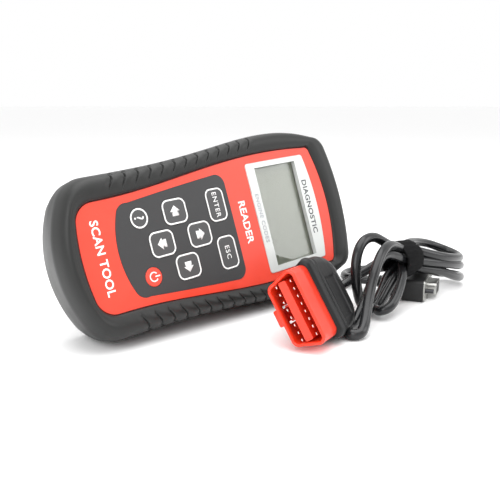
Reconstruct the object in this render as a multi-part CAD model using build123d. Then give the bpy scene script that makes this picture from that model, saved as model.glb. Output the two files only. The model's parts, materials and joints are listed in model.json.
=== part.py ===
from build123d import *
import os
from math import cos, radians, sin, tan

os.makedirs("parts", exist_ok=True)

# A handheld engine code reader, standing on its long right side and leaning back, with its
# unplugged vehicle lead lying beside it as a strapped hank. Millimetres. The reader is drawn
# in its own frame (x to its right, y towards the screen end, z out of the keypad face, zero on
# the red face) and stood up by one placement; the lead is drawn where it lies.

# How the reader stands
lean = 16.44             # degrees the face leans back
rise = 4.0               # degrees its long axis climbs, because the boot is wider at the screen
centre_x = -0.237        # where the middle of the face is, from the middle of the reader's box
centre_y = -16.819
centre_z = 50.392

# Case
boot_wall = 4.5          # rubber round the case
case_wall = 2.0
parting_z = -20.0        # where the two case halves meet, at the widest part
case_back_z = -35.2
panel_back_z = -36.4     # back panel, seen through the boot's rear window
ledge_z = -2.0           # case top under the boot's lip
ceiling_z = -2.2         # underside of the red face
plate_gap = 0.4          # dark line between the red face and the boot
panel_gap = 0.3
label_size = (44.0, 62.0, 0.2)
label_y = 10.0
label_sunk = 0.05        # the label's face lies this far below the back panel's
groove_pitch = 7.93
groove_first = -67.1
groove_count = 13
groove_width = 1.5
groove_depth = 1.6
grip_depth = 8.2         # how far a grip groove runs in from the boot's edge

# Boot cross section, from the back to the crown: height and how far in from the widest outline
boot_section = [(-37.0, 6.8), (-34.5, 4.28), (-20.0, 0.0), (-10.0, 0.2), (-5.0, 1.1),
                (-1.5, 2.7), (1.0, 5.0), (2.4, 8.4)]

# Screen
window = (58.4, 34.0)
window_y = 44.6
frame_skirt = 1.0
frame_proud = 0.5
lens = (61.0, 37.0, 1.0)
glass = (63.0, 42.0, 2.1)

# Keys: name, middle, shape and size
key_gap = 0.2
key_proud = 0.35
key_edge = 0.25          # bevel round each key's top
keys = {
    "key_help": ((-15.1, -57.0), "round", (5.15, 5.15)),
    "key_power": ((15.1, -57.0), "round", (4.85, 4.85)),
    "key_left": ((-14.7, -34.6), "square", (13.9, 15.7)),
    "key_right": ((14.7, -34.6), "square", (13.9, 15.7)),
    "key_up": ((0.0, -22.3), "square", (13.9, 15.7)),
    "key_down": ((0.0, -47.0), "square", (13.9, 15.7)),
    "key_enter": ((-13.4, -6.4), "square", (18.9, 13.2)),
    "key_esc": ((13.4, -6.4), "square", (18.9, 13.2)),
}

# Board
board_top = -8.0
board_thick = 1.6
board_screw_at = [(24.0, 13.0), (-24.0, 13.0), (17.0, -69.5), (-17.0, -69.5)]
case_screw_at = [(24.0, 70.5), (-24.0, 70.5), (16.0, -79.0), (-16.0, -79.0)]
screw_radius = 1.2
screw_head = 2.4

# Nine-way D socket in the screen end, and the plug of the lead that mates with it
socket_z = -17.0
socket_face_y = 93.0
jack_spacing = 24.99
jack_bore = 1.15
jack_bore_length = 4.0

# Vehicle plug (SAE J1962, 16 ways) and its lead
pin_pitch = 4.0
pin_row = 4.2
hood_wide = 19.4         # half width of the wide side
hood_narrow = 16.6
hood_half_height = 8.7
hood_wall = 1.7
cable_radius = 2.8


def save(name, shape, place=None):
    """Write one node, moved to where it stands."""
    shape = shape if place is None else place * shape
    shape.label = name
    export_step(shape, f"parts/{name}.step")
    box = shape.bounding_box()
    spans.append((name, box))
    return shape


spans = []


# ------------------------------------------------------------------ outlines
def pushed(row, inset, z, side=1):
    """One outline point moved inwards by inset, against the way the outline faces there."""
    x, y, facing = row
    return Vector(side * (x - inset * cos(radians(facing))), y - inset * sin(radians(facing)), z)


def outline(rows, inset=0.0, z=0.0):
    """Closed face: arcs across both ends, arcs at the corners, a curve up each side."""
    low, foot, knee, side, shoulder, head, top = rows
    right = [pushed(row, inset, z) for row in side]
    left = [pushed(row, inset, z, -1) for row in side]
    foot_r, knee_r = pushed(foot, inset, z), pushed(knee, inset, z)
    foot_l, knee_l = pushed(foot, inset, z, -1), pushed(knee, inset, z, -1)
    head_r, shoulder_r = pushed(head, inset, z), pushed(shoulder, inset, z)
    head_l, shoulder_l = pushed(head, inset, z, -1), pushed(shoulder, inset, z, -1)
    edges = [
        ThreePointArc(foot_l, pushed(low, inset, z), foot_r),
        ThreePointArc(foot_r, knee_r, right[0]),
        Spline(*right),
        ThreePointArc(right[-1], shoulder_r, head_r),
        ThreePointArc(head_r, pushed(top, inset, z), head_l),
        ThreePointArc(head_l, shoulder_l, left[-1]),
        Spline(*left[::-1]),
        ThreePointArc(left[0], knee_l, foot_l),
    ]
    return Face(Wire(edges))


BOOT = ((0, -102.2, -90), (31, -94.3, -64), (37.9, -88.3, -42),
        [(41, -79, -4), (42.4, -33, -3), (46.4, 9, -6), (49.5, 44, 0), (46.9, 73, 12), (43.2, 87, 22)],
        (39.8, 94.2, 52), (33, 98, 76), (0, 102, 90))
PLATE = ((0, -92.9, -90), (19.5, -91.1, -80), (25.0, -87.5, -45),
         [(27.4, -80, -4), (28.6, -55, -4), (32.6, -20, -6), (36.2, 14, -5), (37.3, 38, 0), (36.2, 72, 4)],
         (35.6, 75.4, 42), (33.0, 76.9, 78), (0, 82.2, 90))
PANEL = ((0, -86, -90), (14, -85, -84), (20.2, -81.5, -45),
         [(22, -74, -4), (25.5, -20, -5), (30.5, 38, -2), (30.3, 68, 6)],
         (28.6, 73.6, 45), (23, 76.4, 84), (0, 78, 90))
KEYPAD = ((0, -73.1, -90), (20.8, -68.6, -66), (23.3, -65.9, -38),
          [(23.9, -61.5, -5), (25.8, -44.4, -6), (29.6, -4.0, -4)],
          (27.9, 1.4, 45), (23.3, 3.2, 85), (0, 3.3, 90))
FRAME = ((0, 21.0, -90), (30.6, 21.1, -88), (31.9, 21.6, -45),
         [(32.4, 22.9, -2), (32.5, 45.0, 0), (32.4, 67.3, 2)],
         (32.0, 68.7, 40), (30.8, 69.4, 80), (0, 72.8, 90))


def inset_at(z):
    """How far in from its widest outline the boot's skin is at height z."""
    for (z0, d0), (z1, d1) in zip(boot_section, boot_section[1:]):
        if z0 <= z <= z1:
            return d0 + (d1 - d0) * (z - z0) / (z1 - z0)
    return boot_section[-1][1]


def stack(heights, extra):
    """Solid between the given heights whose side follows the boot's, extra further in."""
    return loft([outline(BOOT, inset_at(z) + extra, z) for z in heights], ruled=True)


def slab(face, z_low, z_high):
    return Pos(0, 0, z_low) * extrude(face, z_high - z_low)


def cylinder(x, y, z_low, z_high, radius):
    return Pos(x, y, (z_low + z_high) / 2) * Cylinder(radius, z_high - z_low)


def block(x, y, z_low, z_high, width, length, corner=0.0):
    face = RectangleRounded(width, length, corner) if corner else Rectangle(width, length)
    return Pos(x, y, z_low) * extrude(face, z_high - z_low)


# ------------------------------------------------------------------ case and boot
socket_cut = Pos(0, socket_face_y + 8, socket_z) * Box(36, 16, 14)
label_z = panel_back_z + label_sunk
window_hole = block(0, window_y, -6, 2, window[0] + 2 * frame_skirt, window[1] + 2 * frame_skirt)


def key_face(shape, size, grow=0.0):
    """Outline of a key: a disc, or a rounded oblong whose sides bow out a little."""
    if shape == "round":
        return Face(Wire([CenterArc((0, 0), size[0] + grow, 0, 360)]))
    bow, r = 0.5, 2.6 + grow
    w, h, cut = size[0] / 2 - bow + grow, size[1] / 2 - bow + grow, r * (1 - cos(radians(45)))
    edges = []
    for sx, sy in ((1, -1), (1, 1), (-1, 1), (-1, -1)):
        ends = [(sx * (w - r), sy * h), (sx * (w - cut), sy * (h - cut)), (sx * w, sy * (h - r))]
        edges.append(ThreePointArc(*(ends if sx * sy < 0 else ends[::-1])))
    middles = [(w + bow, 0), (0, h + bow), (-w - bow, 0), (0, -h - bow)]
    sides = [ThreePointArc(edges[i] @ 1, middles[i], edges[(i + 1) % 4] @ 0) for i in range(4)]
    return Face(Wire(edges + sides))


def key_holes(z_low, z_high):
    cuts = []
    for (x, y), shape, size in keys.values():
        cuts.append(Pos(x, y, 0) * slab(key_face(shape, size, key_gap), z_low, z_high))
    return cuts


def front_shell():
    """Red upper case: the raised face, the ledge the boot grips and the walls down to the joint."""
    shell = stack([parting_z, -10.0, -5.0], boot_wall)
    shell += slab(outline(BOOT, inset_at(-5.0) + boot_wall), -5.0, ledge_z)
    shell += slab(outline(PLATE), ledge_z, 0.0)
    shell -= stack([parting_z, -10.0, -5.0], boot_wall + case_wall)
    shell -= slab(outline(PLATE, 2.2), -5.0, ceiling_z)
    shell -= slab(outline(KEYPAD, -0.1), -0.9, 0.5)
    shell -= slab(outline(FRAME, -0.1), -1.0, 0.5)
    shell -= window_hole
    shell -= key_holes(-3.0, 0.5)
    for x, y in case_screw_at:
        shell += cylinder(x, y, parting_z, ceiling_z, 3.0)
    for x, y in board_screw_at:
        shell += cylinder(x, y, board_top, ceiling_z, 2.4)
    for x, y in case_screw_at:
        shell -= cylinder(x, y, parting_z, -8.0, screw_radius + 0.02)
    for x, y in board_screw_at:
        shell -= cylinder(x, y, board_top, -4.0, 0.92)
    return shell - socket_cut


def rear_shell():
    """Dark lower case: tapered walls, the panel seen at the back, four counterbored screw posts."""
    shell = stack([case_back_z, -34.5, parting_z], boot_wall)
    shell -= stack([case_back_z + case_wall, parting_z], boot_wall + case_wall)
    shell += slab(outline(PANEL, panel_gap), panel_back_z, case_back_z + 0.5)
    for x, y in case_screw_at:
        shell += cylinder(x, y, case_back_z, parting_z, 3.4)
    for x, y in case_screw_at:
        shell -= cylinder(x, y, panel_back_z, parting_z, screw_radius + 0.2)
        shell -= cylinder(x, y, panel_back_z, case_back_z + 2.4, screw_head + 0.3)
    wide, tall, thick = label_size
    shell -= block(0, label_y, panel_back_z, label_z + thick, wide + 0.4, tall + 0.4, 2.2)
    return shell - socket_cut


def rubber_boot():
    """Grey rubber boot: rolled crown, grooved grips on both long sides, windows front and back."""
    heights = [z for z, _ in boot_section]
    boot = stack(heights, 0.0)
    skin = stack(heights, 0.0) - stack(heights, groove_depth)
    slits = []
    for i in range(groove_count):
        y = groove_first + i * groove_pitch
        half = 41.0 + 8.4 * max(0.0, min(1.0, (y + 45) / 85)) ** 1.3
        for side in (-1, 1):
            reach = Box(grip_depth + 6, groove_width, 26)
            slits.append(Pos(side * (half - grip_depth + (grip_depth + 6) / 2), y, -8.5) * reach)
    boot -= skin & Compound(children=slits)
    boot -= stack([case_back_z, -34.5, parting_z, -10.0, -5.0], boot_wall)
    boot -= slab(outline(BOOT, inset_at(-5.0) + boot_wall), -5.0, ledge_z)
    boot -= slab(outline(PLATE, -plate_gap), ledge_z, 5.0)
    boot -= slab(outline(PANEL), -40.0, case_back_z)
    return boot - socket_cut


# ------------------------------------------------------------------ screen and keypad
def window_frame():
    """Silver surround with an arched top and a skirt that lines the screen's recess."""
    frame = slab(outline(FRAME), -1.0, frame_proud)
    frame = fillet(frame.faces().sort_by(Axis.Z)[-1].edges(), 0.4)
    w, h = window
    frame += block(0, window_y, ceiling_z, 0, w + 2 * frame_skirt - 0.1, h + 2 * frame_skirt - 0.1)
    return frame - block(0, window_y, -4, 2, w, h)


def lcd_bezel():
    """Pressed metal frame that clips the screen and its light to the board."""
    w, h = glass[0] + 0.2, glass[1] + 0.2
    body = block(0, window_y, board_top + 0.02, -3.0, w + 0.8, h + 0.8, 0.6)
    body -= block(0, window_y, board_top, -3.38, w, h)
    body -= block(0, window_y, -4, -2, lens[0] + 0.4, lens[1] + 0.4)
    return body


def key_cap(shape, size):
    """One key: domed cap, a flange that stops it under the face, and a plunger for its switch."""
    shoulder = key_proud - key_edge
    cap = slab(key_face(shape, size), -2.4, shoulder)
    cap += loft([Pos(0, 0, shoulder) * key_face(shape, size),
                 Pos(0, 0, key_proud) * key_face(shape, size, -key_edge)], ruled=True)
    cap += slab(key_face(shape, size, 0.7), -3.3, -2.3)
    return cap + cylinder(0, 0, -5.0, -3.3, 2.0)


def keypad_overlay():
    """Thin moulded keypad skin with a hole for each key."""
    skin = slab(outline(KEYPAD), -0.9, 0.12)
    return skin - key_holes(-2.0, 1.0)


def key_switches():
    """A tactile switch on the board under each key."""
    parts = []
    for (x, y), _, _ in keys.values():
        body = block(x, y, board_top, -6.5, 6.0, 6.0, 0.5)
        parts.append(body + cylinder(x, y, -6.5, -5.7, 1.7))
    return Compound(children=parts)


# ------------------------------------------------------------------ board
def main_board():
    board = slab(outline(PLATE, 3.0), board_top - board_thick, board_top)
    for x, y in case_screw_at:
        board -= cylinder(x, y, -12, -5, 3.3)
    for x, y in board_screw_at:
        board -= cylinder(x, y, -12, -5, 1.1)
    return board


board_under = board_top - board_thick


def chip(x, y, width, length, height, leads=0):
    """A chip under the board, with rows of bent leads down both long sides."""
    body = block(x, y, board_under - height, board_under - 0.1, width, length, 0.3)
    for i in range(leads):
        lead_y = y + (i - (leads - 1) / 2) * length / (leads + 0.6)
        for side in (-1, 1):
            lead = Box(1.6, 0.45, 0.5)
            body += Pos(x + side * (width / 2 + 0.6), lead_y, board_under - 0.25) * lead
    return body


def screws(at, z_low, z_head, z_high, radius, head):
    """Pan head screws pointing up, each with a cross recess in its head."""
    parts = []
    for x, y in at:
        screw = cylinder(x, y, z_head, z_high, radius) + cylinder(x, y, z_low, z_head, head)
        for turn in (0, 90):
            screw -= Pos(x, y, z_low) * Rot(0, 0, turn) * Box(head * 1.1, 0.5, 1.2)
        parts.append(screw)
    return Compound(children=parts)


# ------------------------------------------------------------------ D connectors
def d_face(half_top, half_height, grow=0.0):
    """D outline, wide side up, with rounded corners."""
    slope = tan(radians(10)) * half_height
    t, b, h = half_top + grow, half_top - 2 * slope + grow, half_height + grow
    ring = Polyline((t, h), (b, -h), (-b, -h), (-t, h), close=True)
    return fillet(make_face(ring).vertices(), 1.6)


def d_pins(rows):
    """Where the nine contacts are: five above four."""
    spots = []
    for count, y in rows:
        for i in range(count):
            spots.append(((i - (count - 1) / 2) * 2.77, y))
    return spots


pins_at = d_pins([(5, 1.42), (4, -1.42)])
end_face = Plane(origin=(0, socket_face_y, socket_z), x_dir=(1, 0, 0), z_dir=(0, 1, 0)).location


def socket_shell():
    """Pressed flange with the D shroud standing out of it."""
    plate = Pos(0, 0, -0.5) * extrude(RectangleRounded(30.8, 12.5, 1.5), 1.0)
    plate += extrude(d_face(8.45, 4.15), 6.0)
    plate -= Pos(0, 0, -2) * extrude(d_face(8.45, 4.15, -0.5), 12)
    for side in (-1, 1):
        plate -= Pos(side * jack_spacing / 2, 0, 0) * Cylinder(1.65, 4)
    return plate


def socket_insert():
    body = Pos(0, 0, -8.5) * extrude(RectangleRounded(19.5, 9.6, 0.6), 8.0)
    body += Pos(0, 0, -0.6) * extrude(d_face(8.45, 4.15, -0.6), 1.6)
    for x, y in pins_at:
        body -= Pos(x, y, 0) * Cylinder(0.52, 24)
    return body


def contacts(z_low, z_high, radius):
    """Round contacts with rounded tips."""
    parts = []
    for x, y in pins_at:
        pin = Pos(x, y, (z_low + z_high) / 2) * Cylinder(radius, z_high - z_low)
        parts.append(chamfer(pin.faces().sort_by(Axis.Z)[-1].edges(), radius * 0.5))
    return Compound(children=parts)


def jack_posts():
    """Two hexagonal threaded standoffs that clamp the flange and take the plug's screws."""
    parts = []
    for side in (-1, 1):
        post = extrude(RegularPolygon(2.75, 6), 5.0)
        post = chamfer(post.faces().sort_by(Axis.Z)[-1].edges(), 0.3)
        post = Pos(0, 0, 0.5) * post + Pos(0, 0, -3.0) * Cylinder(1.5, 7.0)
        post -= Pos(0, 0, 5.5 - jack_bore_length / 2) * Cylinder(jack_bore, jack_bore_length)
        parts.append(Pos(side * jack_spacing / 2, 0, 0) * post)
    return Compound(children=parts)


xl = Vector(sin(radians(rise)) * cos(radians(lean)), -sin(radians(lean)),
            -cos(radians(rise)) * cos(radians(lean)))
zl = Vector(-sin(radians(lean)) * sin(radians(rise)), -cos(radians(lean)),
            sin(radians(lean)) * cos(radians(rise)))
stand = Plane(origin=(centre_x, centre_y, centre_z), x_dir=xl, z_dir=zl).location


# ------------------------------------------------------------------ the reader
reader = {
    "front_shell": front_shell(),
    "rear_shell": rear_shell(),
    "rubber_boot": rubber_boot(),
    "window_frame": window_frame(),
    "display_lens": block(0, window_y, -3.35, -2.25, lens[0], lens[1], 1.0),
    "lcd_glass": block(0, window_y, -3.4 - glass[2], -3.4, glass[0], glass[1]),
    "lcd_backlight": block(0, window_y, -7.6, -5.55, glass[0] - 1.0, glass[1] - 1.0, 0.5),
    "lcd_bezel": lcd_bezel(),
    "keypad_overlay": keypad_overlay(),
    "key_switches": key_switches(),
    "main_board": main_board(),
    "processor_chip": chip(6.0, 2.0, 14.0, 14.0, 1.6, 10),
    "transceiver_chips": Compound(children=[chip(x, 62.0, 5.0, 6.4, 1.5, 4) for x in (-16, 0, 16)]),
    "clock_crystal": block(-9.0, 2.0, board_under - 3.4, board_under, 4.6, 10.6, 2.2),
    "beeper": cylinder(-12.0, -36.0, board_under - 6.5, board_under, 6.0)
              - cylinder(-12.0, -36.0, board_under - 7.0, board_under - 5.5, 1.2),
    "board_screws": screws(board_screw_at, board_under - 1.3, board_under, -4.2, 0.9, 1.9),
    "case_screws": screws(case_screw_at, case_back_z + 0.2, case_back_z + 2.4, -9.0,
                          screw_radius, screw_head),
    "rear_label": block(0, label_y, label_z, label_z + label_size[2], *label_size[:2], 2.0),
    "socket_shell": end_face * socket_shell(),
    "socket_insert": end_face * socket_insert(),
    "socket_contacts": end_face * contacts(-9.0, 4.6, 0.5),
    "jack_posts": end_face * jack_posts(),
}
for name, ((x, y), shape, size) in keys.items():
    reader[name] = Pos(x, y, 0) * key_cap(shape, size)
for name, shape in reader.items():
    save(name, shape, stand)

low = [min(getattr(box.min, axis) for _, box in spans) for axis in "XYZ"]
high = [max(getattr(box.max, axis) for _, box in spans) for axis in "XYZ"]
print("reader box", [round(v, 2) for v in low], [round(v, 2) for v in high])


# ------------------------------------------------------------------ vehicle plug
def hood_face(grow=0.0):
    """Outline of the vehicle plug: two long sides of unequal length, rounded corners."""
    w, n, h = hood_wide + grow, hood_narrow + grow, hood_half_height + grow
    return fillet(make_face(Polyline((w, h), (n, -h), (-n, -h), (-w, h), close=True)).vertices(), 2.6)


def plug_hood():
    """Red shroud with its key on the narrow side and a slot each side of the key."""
    hood = Pos(0, 0, -19.0) * extrude(hood_face(), 19.0)
    hood = chamfer(hood.faces().sort_by(Axis.Z)[-1].edges(), 0.4)
    hood += Pos(0, -hood_half_height - 0.4, -8.5) * Box(8.6, 1.2, 17.0)
    hood -= Pos(0, 0, -19.5) * extrude(hood_face(-hood_wall), 25)
    for side in (-1, 1):
        hood -= Pos(side * pin_pitch, -hood_half_height, -8.0) * Box(1.3, 4.4, 10.0)
    return hood


def pin_spots():
    return [((i - 3.5) * pin_pitch, side * pin_row) for side in (-1, 1) for i in range(8)]


def plug_carrier():
    """Red floor of the shroud with the bar that stands between the two rows of pins."""
    body = Pos(0, 0, -19.0) * extrude(hood_face(-hood_wall), 3.0)
    body += Pos(0, 0, -16.0) * extrude(RectangleRounded(31.0, 4.2, 1.0), 14.4)
    for x, y in pin_spots():
        body -= Pos(x, y, -18) * Box(1.5, 0.8, 8)
    return body


def plug_pins():
    parts = []
    for x, y in pin_spots():
        pin = Pos(x, y, -11.9) * Box(1.5, 0.8, 18.6)
        parts.append(chamfer(pin.faces().sort_by(Axis.Z)[-1].edges(), 0.25))
    return Compound(children=parts)


# Body of the vehicle plug, from the hood to the cable: place along it, half widths of its wide
# and narrow sides, how far those sides are from the middle, and its corner radius
plug_section = [(-17.0, 20.6, 17.2, 9.9, 8.9, 3.4), (-21.0, 21.8, 17.3, 11.2, 9.0, 4.5),
                (-34.0, 21.2, 16.6, 11.5, 8.6, 5.5), (-44.0, 18.0, 14.2, 11.0, 8.0, 6.0),
                (-50.0, 13.0, 10.5, 9.0, 7.2, 5.5), (-52.5, 8.5, 7.5, 6.5, 6.0, 4.0)]


def plug_body():
    """Black overmoulded grip: bulges behind the shroud and draws in towards the cable."""
    faces = []
    for z, wide, narrow, up, down, corner in plug_section:
        ring = Polyline((wide, up), (narrow, -down), (-narrow, -down), (-wide, up), close=True)
        faces.append(Pos(0, 0, z) * fillet(make_face(ring).vertices(), corner))
    body = loft([Face(f.face().outer_wire()) for f in faces], ruled=True)
    body -= Pos(0, 0, -19.0) * extrude(hood_face(), 8)
    return body - Pos(0, 0, -20.4) * Box(31.0, 10.4, 3.0)


def strain_relief(z_from, z_to, thick, thin):
    """Tapered sleeve with ring grooves round the cable."""
    body = Pos(0, 0, (z_from + z_to) / 2) * Cone(thin, thick, z_from - z_to)
    for i in range(4):
        z = z_to + (z_from - z_to) * (i + 1) / 5
        body -= Pos(0, 0, z) * (Cylinder(thick + 1, 0.9) - Cylinder(thin - 0.2, 0.9))
    return body


def on_floor(x, y, z):
    """A place beside the reader, from the floor point under the middle of its face."""
    return Vector(centre_x + x, centre_y + y, z)


plug_at = on_floor(-19.4, -66.3, 19.85)
plug_out = Vector(-0.9379, -0.3417, 0.0603).normalized()
plug_down = Vector(0.1274, -0.5009, -0.8561)
plug_place = Plane(origin=plug_at, x_dir=plug_down, z_dir=plug_out).location
plug_tail = 66.0

save("plug_hood", plug_hood(), plug_place)
save("plug_carrier", plug_carrier(), plug_place)
save("plug_pins", plug_pins(), plug_place)
plug_grip = save("plug_body", plug_body(), plug_place)
save("plug_strain_relief", strain_relief(-52.5, -plug_tail, 5.2, 3.3), plug_place)
print("plug lowest", round(plug_grip.bounding_box().min.Z, 2))


# ------------------------------------------------------------------ reader-end plug of the lead
end_plug_height = 6.7
end_plug_place = Plane(origin=on_floor(112.0, -58.0, end_plug_height), x_dir=(0.91, 0.41, 0),
                       z_dir=(0.41, -0.91, 0)).location
end_plug_tail = 34.0


def end_plug_hood():
    """Moulded hood: a wide front with an ear for each screw, a narrow back the cable enters."""
    body = Pos(0, 0, -13.0) * extrude(RectangleRounded(33.0, 13.2, 2.0), 12.2)
    rear = [Pos(0, 0, z) * RectangleRounded(w, h, 2.5) for z, w, h in
            ((-28.0, 11.0, 9.0), (-25.0, 16.0, 12.4), (-13.0, 17.0, 13.0))]
    body += loft([Face(f.face().outer_wire()) for f in rear], ruled=True)
    for side in (-1, 1):
        body -= Pos(side * jack_spacing / 2, 0, -6) * Cylinder(1.45, 20)
    return body - Pos(0, 0, -3.8) * Box(18.6, 9.4, 6.2)


def end_plug_shell():
    plate = Pos(0, 0, -0.8) * extrude(RectangleRounded(30.8, 12.5, 1.5), 0.8)
    plate += extrude(d_face(8.2, 3.9), 5.8)
    plate -= Pos(0, 0, -2) * extrude(d_face(8.2, 3.9, -0.45), 12)
    for side in (-1, 1):
        plate -= Pos(side * jack_spacing / 2, 0, 0) * Cylinder(1.6, 4)
    return plate


def end_plug_insert():
    body = Pos(0, 0, -6.8) * extrude(RectangleRounded(18.0, 9.0, 0.6), 6.0)
    body += Pos(0, 0, -0.9) * extrude(d_face(8.2, 3.9, -0.5), 6.3)
    for x, y in pins_at:
        body -= Pos(x, y, 0) * Cylinder(0.85, 24)
    return body


def end_plug_sockets():
    parts = []
    for x, y in pins_at:
        sleeve = Pos(x, y, -0.8) * (Cylinder(0.85, 11.6) - Cylinder(0.52, 12))
        parts.append(sleeve)
    return Compound(children=parts)


def thumbscrew(side):
    """Knurled head with a driver slot on a thin screw that reaches past the flange."""
    head = Pos(0, 0, -17.8) * Cylinder(3.7, 8.8)
    head = chamfer(head.edges().filter_by(GeomType.CIRCLE), 0.4)
    for i in range(24):
        head -= Rot(0, 0, i * 15) * Pos(3.75, 0, -17.8) * Cylinder(0.22, 9.2)
    head -= Pos(0, 0, -22.0) * Box(8.0, 1.0, 1.8)
    return Pos(side * jack_spacing / 2, 0, 0) * (head + Pos(0, 0, -4.2) * Cylinder(1.38, 18.4))


end_plug = {
    "end_plug_hood": end_plug_hood(),
    "end_plug_shell": end_plug_shell(),
    "end_plug_insert": end_plug_insert(),
    "end_plug_sockets": end_plug_sockets(),
    "end_plug_strain_relief": strain_relief(-28.0, -end_plug_tail, 4.4, 3.2),
    "thumbscrew_near": thumbscrew(-1),
    "thumbscrew_far": thumbscrew(1),
}
for name, shape in end_plug.items():
    save(name, shape, end_plug_place)


# ------------------------------------------------------------------ the cable
def corner_radii(route):
    """Each bend as large as its two runs allow."""
    radii = []
    for a, b, c in zip(route, route[1:], route[2:]):
        half_turn = radians((b - a).get_angle(c - b)) / 2
        radii.append(0.45 * min((b - a).length, (c - b).length) / tan(half_turn))
    return radii


def cable(name, route):
    radii = corner_radii(route)
    path = FilletPolyline(*route, radius=radii)
    section = Plane(origin=route[0], z_dir=route[1] - route[0]) * Circle(cable_radius)
    tube = sweep(section, path)
    expected = 3.14159265 * cable_radius ** 2 * path.length
    print(name, "length", round(path.length, 1), "volume/expected", round(tube.volume / expected, 4),
          "radii", [round(r, 1) for r in radii])
    return save(name, tube)


plug_end = plug_at - plug_out * plug_tail
plug_route = [plug_end, plug_end - plug_out * 9.0, on_floor(60.5, -38.6, 16.5), on_floor(70.5, -41.5, 20.0),
              on_floor(80.0, -46.0, 23.0)]
cable("cable_from_plug", plug_route)

back_way = Vector(-0.41, 0.91, 0).normalized()
end_plug_back = on_floor(112.0, -58.0, end_plug_height) + back_way * end_plug_tail
tail_route = [end_plug_back, end_plug_back + back_way * 10.0, on_floor(95.7, -6.8, 5.6),
              on_floor(103.2, 1.5, 4.8), on_floor(114.0, 4.4, 4.6), on_floor(124.7, 0.9, 4.8),
              on_floor(131.7, -7.8, 6.0), on_floor(133.6, -18.9, 8.6), on_floor(132.4, -29.0, 11.8),
              on_floor(129.0, -38.0, 14.6)]
cable("cable_to_reader_end", tail_route)


def bundle(sections):
    """Solid round a bundle of loops: ellipses across the hank, from one end to the other."""
    faces = []
    for x, y, z, across, upright in sections:
        at = Plane(origin=on_floor(x, y, z), x_dir=(0, 1, 0), z_dir=(1, 0, 0))
        faces.append(Face((at * Ellipse(across, upright)).face().outer_wire()))
    return loft(faces, ruled=True)


waist = (91.0, -51.5, 26.5, 11.3, 10.0)
left_loops = bundle([(13.0, -82.0, 3.6, 3.5, 2.8), (19.0, -80.0, 5.8, 7.0, 5.2), (32.0, -71.0, 14.5, 9.0, 12.0),
                     (46.0, -61.5, 20.5, 12.0, 18.5), (62.0, -55.5, 24.5, 11.5, 21.5),
                     (76.0, -53.5, 25.5, 11.0, 17.0), waist])
left_loops -= plug_place * (Pos(0, 1.25, -35.0) * Box(45.0, 22.0, 38.0))
right_loops = bundle([waist, (105.0, -51.0, 25.0, 13.5, 10.6), (122.0, -50.0, 20.0, 16.5, 14.0),
                      (142.0, -49.0, 15.5, 17.0, 12.6), (157.0, -48.0, 12.5, 13.0, 9.5),
                      (166.0, -47.5, 11.5, 6.5, 5.5)])
right_loops -= end_plug_place * (Pos(0, 0, -12.0) * Box(34.4, 14.4, 37.0))
save("hank_left_loops", left_loops)
save("hank_right_loops", right_loops)

strap_place = Plane(origin=on_floor(waist[0] - 8.0, waist[1], waist[2]), x_dir=(0, 1, 0), z_dir=(1, 0, 0))
band = strap_place * extrude(Ellipse(13.6, 12.2), 16.0)
save("hank_strap", band - left_loops - right_loops)
print("nodes", len(spans))
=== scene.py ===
import bmesh
import bpy
import json
import numpy as np
from math import atan2, cos, pi, radians, sin, sqrt
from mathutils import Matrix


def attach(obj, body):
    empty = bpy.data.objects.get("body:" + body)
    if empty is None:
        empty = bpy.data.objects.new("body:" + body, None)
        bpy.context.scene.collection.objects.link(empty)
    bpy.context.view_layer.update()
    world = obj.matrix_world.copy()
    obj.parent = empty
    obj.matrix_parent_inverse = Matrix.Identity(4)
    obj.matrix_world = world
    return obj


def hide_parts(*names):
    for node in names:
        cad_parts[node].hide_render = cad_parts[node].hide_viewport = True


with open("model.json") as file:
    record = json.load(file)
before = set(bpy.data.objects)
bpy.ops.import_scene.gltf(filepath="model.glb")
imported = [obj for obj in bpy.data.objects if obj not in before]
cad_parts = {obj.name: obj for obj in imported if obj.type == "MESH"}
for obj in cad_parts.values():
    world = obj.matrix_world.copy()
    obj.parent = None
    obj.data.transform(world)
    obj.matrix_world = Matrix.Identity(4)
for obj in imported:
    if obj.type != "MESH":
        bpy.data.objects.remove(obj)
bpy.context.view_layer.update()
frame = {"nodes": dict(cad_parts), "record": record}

MM = 0.001

# The reader stands on its long right side, leans back and climbs a little towards the screen.
LEAN = radians(16.44)
RISE = radians(4.0)
FACE_MIDDLE = np.array([-0.237, -16.819, 50.392])
FACE_UP = np.array([cos(RISE), 0.0, sin(RISE)])
FACE_OUT = np.array([-sin(LEAN) * sin(RISE), -cos(LEAN), sin(LEAN) * cos(RISE)])
FACE_RIGHT = np.cross(FACE_UP, FACE_OUT)
FACE_AXES = np.stack([FACE_RIGHT, FACE_UP, FACE_OUT])

# The vehicle plug: its axes run down its row of pins, across its two rows and out of its mouth.
PLUG_AT = np.array([FACE_MIDDLE[0] - 19.4, FACE_MIDDLE[1] - 66.3, 19.85])
PLUG_OUT = np.array([-0.9379, -0.3417, 0.0603])
PLUG_OUT = PLUG_OUT / np.linalg.norm(PLUG_OUT)
PLUG_DOWN = np.array([0.1274, -0.5009, -0.8561])
PLUG_DOWN = PLUG_DOWN - PLUG_DOWN @ PLUG_OUT * PLUG_OUT
PLUG_DOWN = PLUG_DOWN / np.linalg.norm(PLUG_DOWN)
PLUG_AXES = np.stack([PLUG_DOWN, np.cross(PLUG_OUT, PLUG_DOWN), PLUG_OUT])

# The plug at the reader's end of the lead
END_AT = np.array([FACE_MIDDLE[0] + 112.0, FACE_MIDDLE[1] - 58.0, 6.7])
END_OUT = np.array([0.41, -0.91, 0.0])
END_OUT = END_OUT / np.linalg.norm(END_OUT)
CABLE_RADIUS = 2.8

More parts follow.
